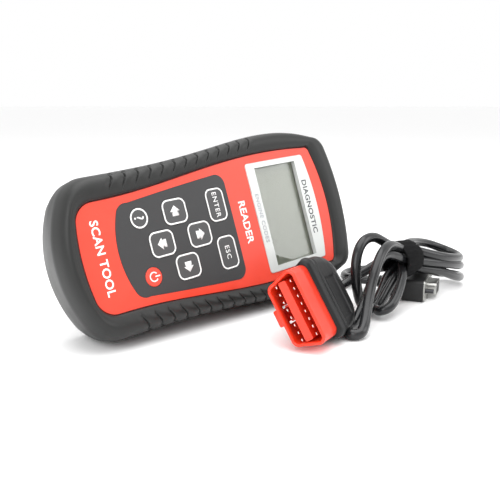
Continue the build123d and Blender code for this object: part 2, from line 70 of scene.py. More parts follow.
# The viewpoint: its heading to the right of straight ahead, its downward tilt, its place and lens
HEADING, TILT = radians(43.71), radians(12.0)
VIEW_FROM = FACE_MIDDLE + [-250.6, -277.7, 66.0]
SENSOR_WIDTH, LENS = 36.0, 49.212


def on_face(points):
    """Reader places in millimetres (x right, y up the face, z out of it), in the frame's metres."""
    return (FACE_MIDDLE + np.asarray(points, float) @ FACE_AXES) * MM


def on_plug(points):
    """Vehicle plug places in millimetres, in the frame's metres."""
    return (PLUG_AT + np.asarray(points, float) @ PLUG_AXES) * MM


def beside(points):
    """Places on the floor beside the reader, from under the middle of its face."""
    return (np.asarray(points, float) + [FACE_MIDDLE[0], FACE_MIDDLE[1], 0.0]) * MM


# ---------------------------------------------------------------- camera, light and floor
# The floor lies this far under the pieces, in metres, so that the two never share a plane
FLOOR_DROP = -0.00002


def aim(obj, direction):
    """Turns a camera or light so that it looks along direction, upright."""
    d = np.array(direction) / np.linalg.norm(direction)
    obj.rotation_euler = (pi / 2 + atan2(d[2], sqrt(d[0] ** 2 + d[1] ** 2)), 0.0, atan2(-d[0], d[1]))


def make_camera():
    data = bpy.data.cameras.new("camera")
    data.sensor_width = SENSOR_WIDTH
    data.lens = LENS
    data.clip_start = 0.01
    cam = bpy.data.objects.new("camera", data)
    bpy.context.scene.collection.objects.link(cam)
    cam.location = VIEW_FROM * MM
    aim(cam, (sin(HEADING) * cos(TILT), cos(HEADING) * cos(TILT), -sin(TILT)))
    bpy.context.scene.camera = cam


def area_light(name, place, target, size, power):
    data = bpy.data.lights.new(name, "AREA")
    data.shape = "RECTANGLE"
    data.size, data.size_y = size
    data.energy = power
    obj = bpy.data.objects.new(name, data)
    bpy.context.scene.collection.objects.link(obj)
    obj.location = place
    aim(obj, np.array(target) - np.array(place))


def make_studio():
    """Large soft boxes above and to both sides, over a wide pale floor under a white sky."""
    world = bpy.data.worlds.new("studio")
    world.use_nodes = True
    sky = world.node_tree.nodes["Background"]
    sky.inputs[0].default_value = (1.0, 1.0, 1.0, 1.0)
    sky.inputs[1].default_value = 1.0
    bpy.context.scene.world = world
    area_light("top_box", (0.05, -0.05, 0.95), (0.02, -0.05, 0.0), (1.3, 0.9), 9.0)
    area_light("left_box", (-0.95, -0.35, 0.65), (0.0, -0.02, 0.05), (0.8, 0.8), 5.5)
    area_light("right_box", (0.75, -0.75, 0.55), (0.05, -0.05, 0.03), (0.5, 0.7), 2.5)
    reach, across = np.meshgrid(np.linspace(-8.0, 40.0, 60), np.linspace(-24.0, 24.0, 30),
                                indexing="ij")
    grid = np.stack([reach * sin(HEADING) + across * cos(HEADING),
                     reach * cos(HEADING) - across * sin(HEADING),
                     np.full(reach.shape, FLOOR_DROP)], axis=-1)
    floor = surface("floor", grid)
    shader, _ = new_material("pale_floor", (0.96, 0.96, 0.96), 0.6)
    give(floor, shader)
    bpy.context.scene.view_settings.view_transform = "Standard"
    bpy.context.scene.view_settings.exposure = 0.0


# ---------------------------------------------------------------- meshes
def surface(name, grid, wrap_u=False, wrap_v=False):
    """Mesh of a two-parameter grid of points: one four-sided face between neighbours, smooth."""
    n, m = grid.shape[:2]
    index = np.arange(n * m).reshape(n, m)
    if wrap_u:
        index = np.vstack([index, index[:1]])
    if wrap_v:
        index = np.hstack([index, index[:, :1]])
    corners = [index[:-1, :-1], index[1:, :-1], index[1:, 1:], index[:-1, 1:]]
    faces = np.stack(corners, axis=-1).reshape(-1, 4)
    mesh = bpy.data.meshes.new(name)
    mesh.from_pydata(grid.reshape(-1, 3), [], faces)
    mesh.polygons.foreach_set("use_smooth", np.ones(len(faces), bool))
    mesh.update()
    obj = bpy.data.objects.new(name, mesh)
    bpy.context.scene.collection.objects.link(obj)
    return obj


def closed_stack(name, rings):
    """Mesh of rings stacked along a piece, with each end closed by a fan to its middle."""
    ends = [rings[0].mean(axis=0), rings[-1].mean(axis=0)]
    first = np.repeat(ends[0][None], rings.shape[1], axis=0)
    last = np.repeat(ends[1][None], rings.shape[1], axis=0)
    obj = surface(name, np.concatenate([first[None], rings, last[None]]), wrap_v=True)
    weld(obj)
    return obj


def weld(obj, distance=1e-7):
    """Joins points in one place and turns every face outwards."""
    work = bmesh.new()
    work.from_mesh(obj.data)
    bmesh.ops.remove_doubles(work, verts=work.verts, dist=distance)
    bmesh.ops.recalc_face_normals(work, faces=work.faces)
    work.to_mesh(obj.data)
    work.free()


def combine(obj, other, operation):
    """Adds the other piece to obj, or takes its space away, and removes the other piece."""
    tool = obj.modifiers.new("combine", "BOOLEAN")
    tool.object = other
    tool.operation = operation
    tool.solver = "EXACT"
    graph = bpy.context.evaluated_depsgraph_get()
    graph.update()
    mesh = bpy.data.meshes.new_from_object(obj.evaluated_get(graph))
    obj.modifiers.clear()
    obj.data = mesh
    mesh.name = obj.name
    bpy.data.objects.remove(other)


def box_ring(low, high):
    """Eight corners of a block as two rings, for closed_stack."""
    (x0, y0, z0), (x1, y1, z1) = low, high
    ring = [(x0, y0), (x1, y0), (x1, y1), (x0, y1)]
    return np.array([[(x, y, z) for x, y in ring] for z in (z0, z1)], float)


# ---------------------------------------------------------------- materials
def new_group(name, inputs, outputs):
    group = bpy.data.node_groups.new(name, "ShaderNodeTree")
    for label, kind, value in inputs:
        socket = group.interface.new_socket(label, in_out="INPUT", socket_type=kind)
        socket.default_value = value
    for label, kind in outputs:
        group.interface.new_socket(label, in_out="OUTPUT", socket_type=kind)
    return group, group.nodes.new("NodeGroupInput"), group.nodes.new("NodeGroupOutput")


def node(tree, kind, links=None, **settings):
    """Adds a node; settings are its properties, links its inputs by name, number or source socket."""
    made = tree.nodes.new(kind)
    for key, value in settings.items():
        setattr(made, key, value)
    for key, value in (links or {}).items():
        if isinstance(value, bpy.types.NodeSocket):
            tree.links.new(value, made.inputs[key])
        else:
            made.inputs[key].default_value = value
    return made


FLOAT, COLOUR = "NodeSocketFloat", "NodeSocketColor"
DUST_COLOUR = (0.7, 0.69, 0.66, 1.0)


def noise(tree, place, scale, detail, roughness=0.5):
    links = {"Vector": place, "Scale": scale, "Detail": detail, "Roughness": roughness}
    return node(tree, "ShaderNodeTexNoise", links).outputs["Fac"]


def maths(tree, operation, first, second):
    return node(tree, "ShaderNodeMath", {0: first, 1: second}, operation=operation).outputs[0]


def spread(tree, value, low, high, least, most):
    """Value from low to high, laid out from least to most and held there beyond them."""
    return node(tree, "ShaderNodeMapRange", {0: value, 1: low, 2: high, 3: least, 4: most}).outputs[0]


def toned(tree, colour, mask, low, high, amount):
    """Colour lightened and darkened by up to the amount, as the mask goes from low to high."""
    tone = maths(tree, "MULTIPLY", spread(tree, mask, low, high, -1.0, 1.0), amount)
    tone = maths(tree, "ADD", tone, 1.0)
    return node(tree, "ShaderNodeVectorMath", {0: colour, 3: tone}, operation="SCALE").outputs[0]


def blended(tree, share, under, over):
    return node(tree, "ShaderNodeMix", {0: share, 6: under, 7: over}, data_type="RGBA").outputs[2]


def moulded_group():
    """Moulded surface: cloudy tone, spark-eroded grain, rubbed edges and settled dust."""
    group, given, out = new_group(
        "moulded_surface",
        [("Color", COLOUR, (0.5, 0.5, 0.5, 1)), ("Worn Color", COLOUR, (0.8, 0.8, 0.8, 1)),
         ("Roughness", FLOAT, 0.5), ("Grain Scale", FLOAT, 2500.0), ("Cloud", FLOAT, 0.1),
         ("Wear", FLOAT, 0.2), ("Dust", FLOAT, 0.05)],
        [("Color", COLOUR), ("Roughness", FLOAT), ("Height", FLOAT)])
    place = node(group, "ShaderNodeTexCoord").outputs["Object"]
    fine = given.outputs["Grain Scale"]
    cloud = noise(group, place, 38.0, 4.0, 0.6)
    grain = noise(group, place, fine, 2.0, 0.7)
    pits = node(group, "ShaderNodeTexVoronoi", {"Vector": place, "Scale": fine}).outputs["Distance"]
    specks = noise(group, place, 900.0, 3.0, 0.8)
    edge = node(group, "ShaderNodeNewGeometry").outputs["Pointiness"]
    shade = toned(group, given.outputs["Color"], cloud, 0.3, 0.7, given.outputs["Cloud"])
    rub = maths(group, "MULTIPLY", spread(group, edge, 0.52, 0.62, 0.0, 1.0), cloud)
    rub = maths(group, "MULTIPLY", rub, given.outputs["Wear"])
    worn = blended(group, rub, shade, given.outputs["Worn Color"])
    dots = maths(group, "MULTIPLY", spread(group, specks, 0.66, 0.74, 0.0, 1.0), given.outputs["Dust"])
    rough = spread(group, cloud, 0.3, 0.7, -0.05, 0.05)
    rough = maths(group, "ADD", rough, given.outputs["Roughness"])
    group.links.new(blended(group, dots, worn, DUST_COLOUR), out.inputs["Color"])
    group.links.new(rough, out.inputs["Roughness"])
    group.links.new(maths(group, "ADD", grain, pits), out.inputs["Height"])
    return group


def brushed_group():
    """Metal surface: fine drawn lines along one axis and faint smudges."""
    group, given, out = new_group(
        "drawn_metal",
        [("Color", COLOUR, (0.6, 0.6, 0.6, 1)), ("Roughness", FLOAT, 0.3), ("Lines", FLOAT, 0.1)],
        [("Color", COLOUR), ("Roughness", FLOAT), ("Height", FLOAT)])
    place = node(group, "ShaderNodeTexCoord").outputs["Object"]
    drawn = node(group, "ShaderNodeMapping", {"Vector": place, "Scale": (300.0, 6000.0, 6000.0)})
    lines = noise(group, drawn.outputs[0], 1.0, 3.0)
    smudge = noise(group, place, 160.0, 3.0)
    rough = spread(group, smudge, 0.3, 0.7, -0.08, 0.12)
    rough = maths(group, "ADD", rough, given.outputs["Roughness"])
    shade = toned(group, given.outputs["Color"], lines, 0.2, 0.8, given.outputs["Lines"])
    group.links.new(shade, out.inputs["Color"])
    group.links.new(rough, out.inputs["Roughness"])
    group.links.new(lines, out.inputs["Height"])
    return group


def new_material(name, base, roughness, **sockets):
    """Principled material with constant values on its own sockets."""
    made = bpy.data.materials.new(name)
    made.use_nodes = True
    shader = made.node_tree.nodes["Principled BSDF"]
    shader.inputs["Base Color"].default_value = (*base, 1.0)
    shader.inputs["Roughness"].default_value = roughness
    for key, value in sockets.items():
        shader.inputs[key.replace("_", " ")].default_value = value
    return made, shader


GROUPS = {}


def textured(name, kind, values, depth, **sockets):
    """Material whose colour, roughness and relief come from one of the shared surface groups."""
    if kind not in GROUPS:
        GROUPS[kind] = moulded_group() if kind == "moulded" else brushed_group()
    made, shader = new_material(name, values["Color"], values["Roughness"], **sockets)
    tree = made.node_tree
    skin = node(tree, "ShaderNodeGroup", node_tree=GROUPS[kind])
    for key, value in values.items():
        skin.inputs[key].default_value = (*value, 1.0) if isinstance(value, tuple) else value
    relief = {"Height": skin.outputs["Height"], "Strength": 1.0, "Distance": depth * MM}
    bump = node(tree, "ShaderNodeBump", relief)
    tree.links.new(skin.outputs["Color"], shader.inputs["Base Color"])
    tree.links.new(skin.outputs["Roughness"], shader.inputs["Roughness"])
    tree.links.new(bump.outputs[0], shader.inputs["Normal"])
    return made


def plastic(name, colour, roughness, grain=3000.0, depth=0.01, cloud=0.06, wear=0.15, dust=0.03,
            worn=None, **sockets):
    worn = worn or tuple(min(1.0, c * 1.6 + 0.05) for c in colour)
    values = {"Color": colour, "Worn Color": worn, "Roughness": roughness, "Grain Scale": grain,
              "Cloud": cloud, "Wear": wear, "Dust": dust}
    return textured(name, "moulded", values, depth, **sockets)


def metal(name, colour, roughness, lines=0.12, depth=0.004):
    return textured(name, "brushed", {"Color": colour, "Roughness": roughness, "Lines": lines}, depth,
                    Metallic=1.0)


def glass(name):
    return new_material(name, (0.93, 0.95, 0.94), 0.03, Transmission_Weight=1.0, IOR=1.49)[0]


def make_finishes():
    return {
        "red_shell": plastic("red_case", (0.74, 0.044, 0.018), 0.36, 3200, 0.008, 0.05, 0.25, 0.03),
        "dark_shell": plastic("dark_case", (0.035, 0.035, 0.037), 0.55, 2600, 0.02),
        "boot_rubber": plastic("boot_rubber", (0.014, 0.0145, 0.014), 0.42, 2300, 0.02, 0.10, 0.5, 0.05,
                               Specular_IOR_Level=0.36),
        "silver_frame": plastic("silver_paint", (0.60, 0.615, 0.60), 0.36, 5200, 0.006, 0.03, 0.1, 0.02,
                                Metallic=0.25),
        "lens": glass("lens_clear"),
        "screen": plastic("screen_film", (0.27, 0.28, 0.215), 0.30, 9000, 0.001, 0.03, 0.0, 0.0),
        "light_guide": plastic("light_guide", (0.8, 0.8, 0.76), 0.4),
        "pressed_steel": metal("pressed_steel", (0.55, 0.55, 0.54), 0.32),
        "keypad_skin": plastic("keypad_skin", (0.020, 0.020, 0.021), 0.50, 4200, 0.012, 0.05, 0.2, 0.03),
        "key_plastic": plastic("key_plastic", (0.050, 0.050, 0.051), 0.47, 4200, 0.012, 0.05, 0.25, 0.03),
        "power_key": plastic("power_key", (0.76, 0.05, 0.025), 0.42, 4200, 0.012, 0.05, 0.1, 0.02),
        "switch_plastic": plastic("switch_plastic", (0.02, 0.02, 0.02), 0.5),
        "board": plastic("solder_mask", (0.01, 0.11, 0.04), 0.35, 1500, 0.01, 0.15),
        "chip_plastic": plastic("chip_plastic", (0.015, 0.015, 0.016), 0.45),
        "screw_steel": metal("screw_steel", (0.22, 0.22, 0.23), 0.38),
        "label": plastic("label_film", (0.55, 0.56, 0.55), 0.45, 6000, 0.003),
        "connector_shell": metal("tinned_shell", (0.42, 0.42, 0.40), 0.32),
        "connector_plastic": plastic("connector_plastic", (0.012, 0.012, 0.013), 0.45),
        "gold_contact": metal("gold_contact", (0.85, 0.6, 0.24), 0.22),
        "red_plug": plastic("plug_red", (0.80, 0.034, 0.010), 0.34, 3600, 0.006, 0.05, 0.3, 0.02,
                            Subsurface_Weight=0.05),
        "pin_metal": metal("pin_metal", (0.92, 0.92, 0.9), 0.2),
        "plug_rubber": plastic("plug_rubber", (0.006, 0.006, 0.0063), 0.38, 2200, 0.03, 0.12, 0.5, 0.05,
                               Specular_IOR_Level=0.28),
        "knob_metal": metal("knob_metal", (0.05, 0.05, 0.053), 0.34),
        "cable_jacket": plastic("cable_jacket", (0.009, 0.0095, 0.0105), 0.25, 1500, 0.006, 0.10, 0.1, 0.04,
                                Specular_IOR_Level=0.38, Coat_Weight=0.12, Coat_Roughness=0.08),
        "hook_and_loop": plastic("hook_and_loop", (0.004, 0.004, 0.0044), 0.9, 1300, 0.5, 0.25, 0.0, 0.10,
                                 Specular_IOR_Level=0.15),
        "white_ink": plastic("white_ink", (0.86, 0.86, 0.85), 0.45, 4000, 0.003, 0.03, 0.0, 0.02),
        "dark_ink": plastic("dark_ink", (0.045, 0.048, 0.055), 0.45, 4000, 0.003, 0.05, 0.0, 0.02),
        "grey_ink": plastic("grey_ink", (0.30, 0.32, 0.35), 0.45, 4000, 0.003, 0.05, 0.0, 0.02),
    }


def give(obj, material):
    obj.data.materials.clear()
    obj.data.materials.append(material)


def settle(obj, body, slot_name, material, *nodes):
    """Gives a new piece its material and its body, and hides the CAD nodes that it stands for; slot_name is
    not used.
    """
    give(obj, material)
    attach(obj, body)
    if nodes:
        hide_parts(*nodes)


# ---------------------------------------------------------------- the lead
# The route, from the plug to the reader's end, in millimetres beside the reader
FROM_PLUG = [(60.5, -38.6, 16.5), (70.5, -41.0, 20.5), (79.0, -44.0, 24.5)]
RING_MIDDLE = [(87.0, -45.6, 26.5), (98.0, -45.6, 26.0), (110.0, -42.5, 25.0), (124.0, -39.0, 22.5),
               (139.0, -37.5, 18.5), (151.0, -39.5, 14.5), (157.5, -46.5, 12.0), (155.0, -55.0, 12.5),
               (144.0, -60.5, 15.0), (129.0, -62.5, 18.5), (113.0, -61.0, 22.0)]
FOLD_FRONT = [(98.0, -57.8, 25.0), (87.0, -57.6, 26.5), (78.0, -57.6, 30.5), (68.5, -57.2, 33.5),
              (60.0, -58.5, 32.5), (52.5, -61.0, 28.0), (45.5, -63.5, 21.0), (38.5, -65.0, 13.5),
              (31.0, -66.5, 6.5), (23.5, -68.2, 3.0), (16.5, -70.5, 2.9), (12.5, -75.5, 2.9),
              (17.0, -79.2, 3.2), (24.0, -76.0, 6.5), (31.5, -71.5, 13.0), (39.0, -67.8, 21.5),
              (46.5, -65.5, 31.0), (55.5, -62.5, 37.0), (65.5, -59.5, 39.3), (76.0, -56.5, 37.0)]
RING_HIGH = [(86.0, -54.6, 33.0), (97.0, -54.6, 31.5), (108.0, -59.5, 27.8), (122.0, -63.0, 24.0),
             (137.0, -62.0, 21.0), (150.0, -57.5, 18.8), (156.5, -49.5, 19.2), (154.0, -41.5, 21.8),
             (143.0, -37.0, 26.3), (126.0, -38.0, 29.8), (110.0, -43.0, 32.0)]
LOOP_TALL = [(98.0, -48.0, 32.3), (87.0, -48.6, 33.0), (76.0, -49.5, 38.0), (64.0, -50.0, 43.5),
             (52.0, -51.0, 42.0), (45.0, -52.5, 33.0), (43.5, -54.5, 20.0), (45.5, -56.5, 8.0),
             (53.0, -56.5, 2.9), (64.0, -53.0, 3.0), (75.0, -50.0, 9.5), (81.5, -48.5, 16.5)]
RING_LOW = [(89.0, -48.5, 21.0), (99.0, -48.3, 20.5), (112.0, -47.5, 18.5), (125.0, -46.5, 15.5),
            (138.0, -43.0, 9.5), (149.0, -41.5, 6.0), (157.0, -45.5, 4.8), (157.5, -53.5, 4.8),
            (149.0, -59.0, 6.0), (136.0, -62.0, 9.5), (122.0, -61.5, 14.8), (108.0, -58.5, 18.0)]
FOLD_SMALL = [(98.0, -54.8, 20.5), (87.0, -54.6, 20.8), (77.0, -56.0, 16.5), (69.0, -57.5, 11.5),
              (61.0, -59.5, 7.0), (53.5, -61.5, 5.0), (50.0, -65.8, 5.2), (54.0, -70.0, 7.0),
              (62.0, -68.5, 11.0), (71.0, -65.0, 16.0), (80.0, -60.5, 20.5)]
TAIL = [(89.0, -52.0, 25.5), (99.0, -51.5, 26.0), (112.0, -50.5, 24.0), (121.5, -47.0, 21.0),
        (129.0, -38.0, 15.5), (132.4, -29.0, 11.8), (133.6, -18.9, 8.6), (131.7, -7.8, 6.0),
        (124.7, 0.9, 4.8),
        (114.0, 4.4, 4.6), (103.2, 1.5, 4.8), (95.7, -6.8, 5.6)]


def make_cable(finishes):
    """One smooth tube from the vehicle plug's relief, through the hank, to the other plug's relief."""
    start = [on_plug((0.0, 0.0, -66.0)), on_plug((0.0, 0.0, -75.0))]
    middle = beside(FROM_PLUG + RING_MIDDLE + FOLD_FRONT + RING_HIGH + LOOP_TALL + RING_LOW + FOLD_SMALL
                    + TAIL)
    finish = [(END_AT - END_OUT * far) * MM for far in (44.0, 34.0)]
    route = np.concatenate([start, middle, finish])
    curve = bpy.data.curves.new("cable", "CURVE")
    curve.dimensions = "3D"
    spline = curve.splines.new("NURBS")
    spline.points.add(len(route) - 1)
    spline.points.foreach_set("co", np.hstack([route, np.ones((len(route), 1))]).ravel())
    spline.order_u = 3
    spline.use_endpoint_u = True
    spline.resolution_u = 10
    curve.bevel_depth = CABLE_RADIUS * MM
    curve.bevel_resolution = 6
    curve.use_fill_caps = True
    obj = bpy.data.objects.new("cable", curve)
    bpy.context.scene.collection.objects.link(obj)
    settle(obj, "root", "cable_jacket", finishes["cable_jacket"],
           "cable_from_plug", "cable_to_reader_end", "hank_left_loops", "hank_right_loops")
    return obj


def make_strap(finishes):
    """Hook-and-loop band: an oval swept round the bundle, drawn in a little towards both its edges.

    Its half sizes are 11.2 by 10 mm, each less a twentieth at the edges; two shallow ripples run round
    it. The wall is 1.3 mm thick, and its end laps over its start, lifted by up to 1.6 mm.
    """
    across = np.linspace(-1.0, 1.0, 25)
    turn = np.linspace(0.0, 2.12 * pi, 150)
    lap = np.clip((turn - 1.92 * pi) / (0.2 * pi), 0.0, 1.0)
    a, t = np.meshgrid(across, turn)
    lift = np.repeat(lap[:, None], len(across), axis=1)
    ripple = 0.18 * np.sin(7.0 * t + 1.3 * a) + 0.12 * np.sin(17.0 * t - 2.0 * a)
    swell = 1.0 - 0.05 * a ** 2
    radius_y = 11.2 * swell + ripple + 1.6 * lift
    radius_z = 10.0 * swell + ripple + 1.6 * lift
    begin = radians(-112.0)
    x = 91.0 + 7.8 * a * (1.0 + 0.03 * np.sin(3.0 * t)) + 0.8 * np.sin(t)
    y = -51.5 + radius_y * np.cos(t + begin)
    z = 26.4 + radius_z * np.sin(t + begin)
    band = surface("hook_and_loop_strap", beside(np.stack([x, y, z], axis=-1)))
    thick = band.modifiers.new("thickness", "SOLIDIFY")
    thick.thickness = 1.3 * MM
    thick.offset = 0.0
    band.modifiers.new("soft edge", "BEVEL").width = 0.25 * MM
    settle(band, "root", "hook_and_loop", finishes["hook_and_loop"], "hank_strap")
    return band


# ---------------------------------------------------------------- outlines shared with the case
def distances(line):
    """Distance along a line at each of its points."""
    return np.concatenate([[0.0], np.cumsum(np.linalg.norm(np.diff(line, axis=0), axis=1))])


def smooth_side(rows, count):
    """Points along a curve through rows (natural cubic, solved as one system)."""
    rows = np.asarray(rows, float)
    t = distances(rows)
    n = len(t)
    step = np.diff(t)
    system = np.eye(n)
    right = np.zeros((n, 2))
    for i in range(1, n - 1):
        system[i, i - 1:i + 2] = step[i - 1], 2 * (step[i - 1] + step[i]), step[i]
        right[i] = 6 * ((rows[i + 1] - rows[i]) / step[i] - (rows[i] - rows[i - 1]) / step[i - 1])
    bend = np.linalg.solve(system, right)
    u = np.linspace(0.0, t[-1], count)
    k = np.clip(np.searchsorted(t, u, side="right") - 1, 0, n - 2)
    a = ((t[k + 1] - u) / step[k])[:, None]
    b = 1.0 - a
    return (a * rows[k] + b * rows[k + 1]
            + ((a ** 3 - a) * bend[k] + (b ** 3 - b) * bend[k + 1]) * (step[k] ** 2 / 6)[:, None])


def arc_through(p, q, r, count):
    """Points on the circle through three places."""
    p, q, r = (np.asarray(v, float) for v in (p, q, r))
    m = np.array([q - p, r - q]) * 2
    centre = np.linalg.solve(m, [q @ q - p @ p, r @ r - q @ q])
    first = atan2(*(p - centre)[::-1])
    sweep = (atan2(*(r - centre)[::-1]) - first + pi) % (2 * pi) - pi
    angle = first + np.linspace(0.0, sweep, count)
    return centre + np.linalg.norm(p - centre) * np.stack([np.cos(angle), np.sin(angle)], axis=-1)


def outline(rows, inset, counts):
    """Closed line round the case: low end, corner, side, corner, far end, then its mirror image."""
    low, foot, knee, side, shoulder, head, top = rows
    spots = [low, foot, knee, *side, shoulder, head, top]
    moved = [np.array([x - inset * cos(radians(f)), y - inset * sin(radians(f))]) for x, y, f in spots]
    ends, corner, along = counts
    (low, foot, knee), (shoulder, head, top) = moved[:3], moved[-3:]
    flip = np.array([-1.0, 1.0])
    first = arc_through(foot * flip, low, foot, 2 * ends - 1)[ends - 1:-1]
    knee_arc = arc_through(foot, knee, moved[3], corner)[:-1]
    sides = smooth_side(moved[3:-3], along)[:-1]
    shoulder_arc = arc_through(moved[-4], shoulder, head, corner)[:-1]
    last = arc_through(head, top, head * flip, 2 * ends - 1)[:ends]
    half = np.concatenate([first, knee_arc, sides, shoulder_arc, last])
    return np.concatenate([half, half[-2:0:-1] * flip])


BOOT = ((0, -102.2, -90), (31, -94.3, -64), (37.9, -88.3, -42),
        [(41, -79, -4), (42.4, -33, -3), (46.4, 9, -6), (49.5, 44, 0), (46.9, 73, 12), (43.2, 87, 22)],
        (39.8, 94.2, 52), (33, 98, 76), (0, 102, 90))
PLATE = ((0, -92.9, -90), (19.5, -91.1, -80), (25.0, -87.5, -45),
         [(27.4, -80, -4), (28.6, -55, -4), (32.6, -20, -6), (36.2, 14, -5), (37.3, 38, 0), (36.2, 72, 4)],
         (35.6, 75.4, 42), (33.0, 76.9, 78), (0, 82.2, 90))
PANEL = ((0, -86, -90), (14, -85, -84), (20.2, -81.5, -45),
         [(22, -74, -4), (25.5, -20, -5), (30.5, 38, -2), (30.3, 68, 6)],
         (28.6, 73.6, 45), (23, 76.4, 84), (0, 78, 90))
# Points along half an end, a corner and a side
COUNTS = (30, 20, 600)
# How far the boot's ends are drawn in: height, keypad end, screen end; and where along it that begins
END_ROUNDING = [(-37.0, 2.5, 1.0), (-34.5, 2.5, 1.0), (-20.0, 2.5, 0.0), (-10.0, 0.0, 1.8), (-5.0, 0.0, 2.8),
                (-1.5, 0.0, 3.2), (1.0, 0.0, 3.2), (2.4, 0.0, 3.2)]
ROUNDING_START, ROUNDING_LENGTH = 60.0, 42.0


# ---------------------------------------------------------------- the boot
GROOVE_FIRST, GROOVE_PITCH, GROOVE_COUNT = -67.1, 7.93, 13
# Share across the front at which the pattern is read for the whole flank
OUTER_EDGE = 0.002


def grip(across, along, side):
    """Depth of the grip pattern in millimetres.

    A slit is a narrow trough, 1.3 mm deep, where the leaning distance along the case meets a multiple of
    the pitch; between slits each pad is crowned by 0.3 mm. The slits hook towards the keypad at the edge.
    """
    lean_in = 4.2 * np.clip((across - 0.30) / 0.55, 0.0, 1.0)
    lean_in -= 4.6 * np.clip((0.17 - across) / 0.17, 0.0, 1.0)
    place = (along - GROOVE_FIRST + lean_in) / GROOVE_PITCH
    phase = place - np.floor(place + 0.5)
    inside = np.clip((place + 0.62) / 0.12, 0.0, 1.0)
    inside *= np.clip((GROOVE_COUNT - 0.38 - place) / 0.12, 0.0, 1.0)
    slit = np.exp(-(phase * GROOVE_PITCH / 0.40) ** 4)
    crown = np.cos(np.clip(phase, -0.5, 0.5) * pi) ** 2
    reach = np.clip(across / 0.05, 0.0, 1.0) * np.clip((0.74 - across) / 0.06, 0.0, 1.0) * side
    return inside * reach * (1.3 * slit + 0.3 * crown - 0.05)


def boot_line(inset, z):
    """The boot's outline at height z, its two ends drawn in as they round off."""
    levels = np.array(END_ROUNDING)
    low_end, high_end = (np.interp(z, levels[:, 0], levels[:, k]) for k in (1, 2))

    def drawn(row):
        share = max(0.0, (abs(row[1]) - ROUNDING_START) / ROUNDING_LENGTH)
        return row[0], row[1] + share * (low_end if row[1] < 0.0 else -high_end), row[2]

    rows = [[drawn(r) for r in row] if isinstance(row, list) else drawn(row) for row in BOOT]
    return outline(rows, inset, COUNTS)


def make_boot(finishes):
    """Moulded rubber round the case, one closed skin.

    Across the front the skin runs from the boot's widest line to the red plate's line by a share s, its
    height rising from -9.5 mm at the outside to 2.35 mm on the crown and falling to 0.1 mm at the plate;
    down the flank the outline is drawn in step by step; across the back it runs in to the rear window,
    and inside it returns about 5 mm under the surface. The grip pattern is then pressed into it.
    """
    inner = outline(PLATE, -0.4, COUNTS)
    rear = outline(PANEL, 0.0, COUNTS)
    share = np.array([1.0, 0.985, 0.94, 0.88, 0.80, 0.72, 0.64, 0.56, 0.48, 0.40, 0.33, 0.27, 0.22, 0.17,
                      0.125, 0.09, 0.06, 0.035, 0.015, 0.0])
    known = [0.0, 0.015, 0.05, 0.12, 0.22, 0.33, 0.48, 0.62, 0.76, 0.9, 0.97, 1.0]
    rise = [-9.5, -7.6, -4.4, -1.4, 0.7, 1.8, 2.35, 2.35, 1.95, 1.35, 0.9, 0.1]
    height = np.interp(share, known, rise)
    rings, lows = [], []
    rings.append(np.column_stack([inner, np.full(len(inner), -1.9)]))
    widest = boot_line(0.0, -15.0)
    middle = widest[:, 1]
    side = np.clip((np.abs(widest[:, 0]) - 36.0) / 3.0, 0.0, 1.0) * (np.abs(middle) < 90.0)
    keypad_end = np.clip((-78.0 - middle) / 12.0, 0.0, 1.0)
    for s, z in zip(share, height):
        outer = boot_line(0.0, z)
        line = outer + s * (inner - outer)
        valley = 0.55 * keypad_end * np.exp(-((s - 0.66) / 0.10) ** 2) * (s < 1.0)
        rings.append(np.column_stack([line, z - valley]))
        lows.append(grip(np.full(len(line), s), line[:, 1], side))
    flank = [(-11.5, 0.05), (-14.0, 0.0), (-17.0, 0.0), (-20.0, 0.0), (-25.0, 1.3), (-30.0, 2.9),
             (-33.5, 4.0), (-35.4, 5.0), (-36.6, 6.2), (-37.0, 7.8)]
    for z, inset in flank:
        line = boot_line(inset, z)
        rings.append(np.column_stack([line, np.full(len(line), z)]))
        fade = 1.0 if z > -16.0 else max(0.0, (20.5 + z) / 5.0)
        lows.append(fade * grip(np.full(len(line), OUTER_EDGE), line[:, 1], side))
    back = rings[-1][:, :2]
    for s, z in [(0.5, -37.0), (0.97, -37.0), (1.0, -36.8)]:
        rings.append(np.column_stack([back + s * (rear - back), np.full(len(rear), z)]))
    rings.append(np.column_stack([rear, np.full(len(rear), -35.2)]))
    for z, inset in [(-35.2, 9.5), (-20.0, 4.5), (-5.0, 5.6)]:
        rings.append(np.column_stack([boot_line(inset, z), np.full(len(rear), z)]))
    rings.append(np.column_stack([inner, np.full(len(rear), -2.6)]))
    grid = np.stack(rings)
    tangent_u = np.roll(grid, -1, axis=1) - np.roll(grid, 1, axis=1)
    tangent_v = np.zeros_like(grid)
    tangent_v[1:-1] = grid[2:] - grid[:-2]
    normal = np.cross(tangent_v, tangent_u)
    size = np.linalg.norm(normal, axis=-1, keepdims=True)
    normal = np.where(size > 1e-9, normal / np.maximum(size, 1e-9), 0.0)
    outwards = np.sign(np.sum(normal[15:16] * [0.0, 0.0, 1.0], axis=-1, keepdims=True).mean()) or 1.0
    depth = np.zeros(grid.shape[:2])
    depth[1:1 + len(lows)] = np.stack(lows)
    grid = grid - outwards * normal * depth[..., None]
    boot = surface("grip_boot", on_face(grid), wrap_u=True, wrap_v=True)
    weld(boot)
    low, high = np.array([-18.0, 75.0, -24.0]), np.array([18.0, 110.0, -10.0])
    hole = closed_stack("socket_hole", on_face(box_ring(low, high)))
    combine(boot, hole, "DIFFERENCE")
    settle(boot, "root", "boot_rubber", finishes["boot_rubber"], "rubber_boot")
    return boot


# ---------------------------------------------------------------- the vehicle plug
LIP = 0.85
BODY_POINTS = 220


